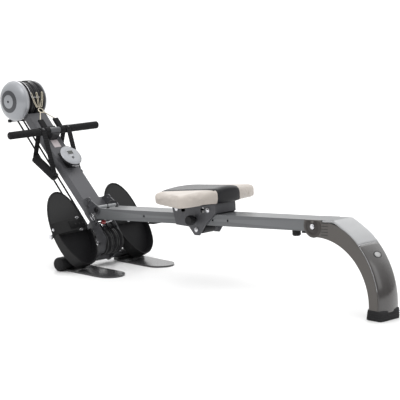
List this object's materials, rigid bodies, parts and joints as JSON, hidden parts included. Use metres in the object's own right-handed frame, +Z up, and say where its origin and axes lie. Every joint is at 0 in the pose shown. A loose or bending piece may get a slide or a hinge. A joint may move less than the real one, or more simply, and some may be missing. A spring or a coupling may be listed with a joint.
{
  "type": "rowing machine",
  "caption": "Folding rowing machine: leaning front column with elastic cords over pulleys, handlebar, stirrups, tilting pedals, sliding seat on a rail and a curved rear leg.",
  "frame": {"origin": "floor, under the middle of the machine's length and width", "axes": "+X along the machine towards the rear leg, +Y towards the side without the lock knobs, +Z up"},
  "size_m": [1.8763, 0.484, 0.6658],
  "materials": {
    "frame_paint": "dark metallic grey satin paint",
    "floor_paint": "glossy near-black paint",
    "rail_metal": "grey metallic satin paint",
    "bright": "bright zinc or chrome plating",
    "hook_metal": "pale brassy plating",
    "silver_plastic": "silver plastic",
    "black_plastic": "black textured plastic",
    "grey_plastic": "light grey plastic",
    "dark_plastic": "dark grey plastic",
    "red_plastic": "red knob",
    "black_rubber": "black rubber",
    "foam": "black closed-cell foam",
    "cord": "black braided elastic cord",
    "webbing": "black webbing",
    "leg_paint": "warm dark grey satin paint",
    "leg_cover_plastic": "light grey plastic cover",
    "seat_wood": "plywood seat board painted black",
    "seat_vinyl": "beige and black vinyl over foam"
  },
  "bodies": {
    "frame": {"column_tube": "frame_paint", "side_plate_near": "frame_paint", "side_plate_far": "frame_paint", "front_stabilizer": "frame_paint", "stabilizer_caps": "black_rubber", "floor_plate_near": "floor_paint", "floor_plate_far": "floor_paint", "pedal_axle": "bright", "cross_rods": "bright", "head_side_plates": "frame_paint", "head_cover_near": "silver_plastic", "head_cover_far": "silver_plastic", "head_guard": "dark_plastic", "cord_near": "cord", "cord_mid": "cord", "cord_far": "cord", "snap_hooks": "hook_metal", "hinge_bracket": "frame_paint", "hinge_pin": "bright", "frame_fasteners": "bright", "handlebar_cradle": "black_plastic", "monitor_bracket": "black_plastic", "fold_lock_plate": "frame_paint"},
    "fold_lock": {"fold_lock_pin": "red_plastic"},
    "head_pulley_1": {"head_pulley_near": "black_plastic"},
    "head_pulley_2": {"head_pulley_mid": "black_plastic"},
    "head_pulley_3": {"head_pulley_far": "black_plastic"},
    "lower_pulley_1": {"lower_pulley_near": "black_plastic"},
    "lower_pulley_2": {"lower_pulley_mid": "black_plastic"},
    "lower_pulley_3": {"lower_pulley_far": "black_plastic"},
    "handlebar": {"handlebar_tube": "frame_paint", "handlebar_grips": "foam", "handlebar_webbing": "webbing", "yoke_wire": "bright"},
    "stirrup_left": {"stirrup_strap_left": "webbing", "stirrup_grip_left": "foam"},
    "stirrup_right": {"stirrup_strap_right": "webbing", "stirrup_grip_right": "foam"},
    "monitor": {"monitor_case": "black_plastic", "monitor_face": "silver_plastic"},
    "button": {"monitor_button": "grey_plastic"},
    "pedal_l": {"pedal_left": "dark_plastic", "heel_cup_left": "black_plastic", "foot_strap_left": "black_rubber"},
    "pedal_r": {"pedal_right": "dark_plastic", "heel_cup_right": "black_plastic", "foot_strap_right": "black_rubber"},
    "rail": {"rail_tube": "rail_metal", "rail_bumpers": "black_rubber", "leg_shell": "leg_paint", "leg_cover": "leg_cover_plastic", "rear_foot": "black_rubber"},
    "seat": {"carriage_frame": "frame_paint", "roller_axles": "bright", "seat_board": "seat_wood", "seat_pad": "seat_vinyl"},
    "roller_front": {"upper_roller_front": "black_plastic"},
    "roller_rear": {"upper_roller_rear": "black_plastic"},
    "roller_under": {"lower_roller": "black_plastic"},
    "seat_lock": {"seat_lock_knob": "black_plastic"}
  },
  "joints": [
    {"name": "rail_fold", "type": "hinge", "parent": "frame", "child": "rail", "pos_m": [-0.41, 0, 0.216], "axis": [0, -1, 0], "range_deg": [0, 75]},
    {"name": "seat_slide", "type": "slide", "parent": "rail", "child": "seat", "axis": [0.9966, 0, 0.0819], "range_m": [-0.22, 0.38]},
    {"name": "seat_lock_pull", "type": "slide", "parent": "seat", "child": "seat_lock", "axis": [0, -1, 0], "range_m": [0, 0.006], "stiffness_N_per_m": 400, "springref_m": -0.004},
    {"name": "fold_lock_pull", "type": "slide", "parent": "frame", "child": "fold_lock", "axis": [0.0819, 0, -0.9966], "range_m": [0, 0.006], "stiffness_N_per_m": 400, "springref_m": -0.004},
    {"name": "handlebar_lift", "type": "slide", "parent": "frame", "child": "handlebar", "axis": [0.7009, 0, 0.7132], "range_m": [0, 0.06]},
    {"name": "stirrup_left_swing", "type": "hinge", "parent": "handlebar", "child": "stirrup_left", "pos_m": [-0.69728, -0.064, 0.48567], "axis": [0, 1, 0], "range_deg": [-25, 30]},
    {"name": "stirrup_right_swing", "type": "hinge", "parent": "handlebar", "child": "stirrup_right", "pos_m": [-0.69728, 0.064, 0.48567], "axis": [0, 1, 0], "range_deg": [-25, 30]},
    {"name": "pedal_left_tilt", "type": "hinge", "parent": "frame", "child": "pedal_l", "pos_m": [-0.462, -0.147, 0.131], "axis": [0, -1, 0], "range_deg": [0, 25]},
    {"name": "pedal_right_tilt", "type": "hinge", "parent": "frame", "child": "pedal_r", "pos_m": [-0.462, 0.147, 0.131], "axis": [0, -1, 0], "range_deg": [0, 25]},
    {"name": "button_press", "type": "slide", "parent": "monitor", "child": "button", "axis": [-0.7009, 0, -0.7132], "range_m": [0, 0.0015], "stiffness_N_per_m": 300},
    {"name": "monitor_turn", "type": "hinge", "parent": "frame", "child": "monitor", "pos_m": [-0.61818, 0, 0.38355], "axis": [0.7009, 0, 0.7132], "range_deg": [-30, 30]},
    {"name": "head_pulley_1_spin", "type": "hinge", "parent": "frame", "child": "head_pulley_1", "pos_m": [-0.86181, -0.028, 0.58932], "axis": [0, -1, 0], "continuous": true},
    {"name": "head_pulley_2_spin", "type": "hinge", "parent": "frame", "child": "head_pulley_2", "pos_m": [-0.86181, 0, 0.58932], "axis": [0, -1, 0], "continuous": true},
    {"name": "head_pulley_3_spin", "type": "hinge", "parent": "frame", "child": "head_pulley_3", "pos_m": [-0.86181, 0.028, 0.58932], "axis": [0, -1, 0], "continuous": true},
    {"name": "lower_pulley_1_spin", "type": "hinge", "parent": "frame", "child": "lower_pulley_1", "pos_m": [-0.41, -0.028, 0.091], "axis": [0, -1, 0], "continuous": true},
    {"name": "lower_pulley_2_spin", "type": "hinge", "parent": "frame", "child": "lower_pulley_2", "pos_m": [-0.41, 0, 0.091], "axis": [0, -1, 0], "continuous": true},
    {"name": "lower_pulley_3_spin", "type": "hinge", "parent": "frame", "child": "lower_pulley_3", "pos_m": [-0.41, 0.028, 0.091], "axis": [0, -1, 0], "continuous": true},
    {"name": "roller_front_spin", "type": "hinge", "parent": "seat", "child": "roller_front", "pos_m": [0.00965, 0, 0.27085], "axis": [0, 1, 0], "range_deg": [-850, 1450]},
    {"name": "roller_rear_spin", "type": "hinge", "parent": "seat", "child": "roller_rear", "pos_m": [0.16413, 0, 0.28355], "axis": [0, 1, 0], "range_deg": [-850, 1450]},
    {"name": "roller_under_spin", "type": "hinge", "parent": "seat", "child": "roller_under", "pos_m": [0.10832, 0, 0.20571], "axis": [0, 1, 0], "range_deg": [-1400, 850]}
  ],
  "couplings": [
    {"joint": "lower_pulley_1_spin", "follows": "head_pulley_1_spin", "ratio": 1.4607},
    {"joint": "lower_pulley_2_spin", "follows": "head_pulley_2_spin", "ratio": 1.4607},
    {"joint": "lower_pulley_3_spin", "follows": "head_pulley_3_spin", "ratio": 1.4607},
    {"joint": "roller_front_spin", "follows": "seat_slide", "rad_per_m": 64.103},
    {"joint": "roller_rear_spin", "follows": "seat_slide", "rad_per_m": 64.103},
    {"joint": "roller_under_spin", "follows": "seat_slide", "rad_per_m": -60.976}
  ]
}
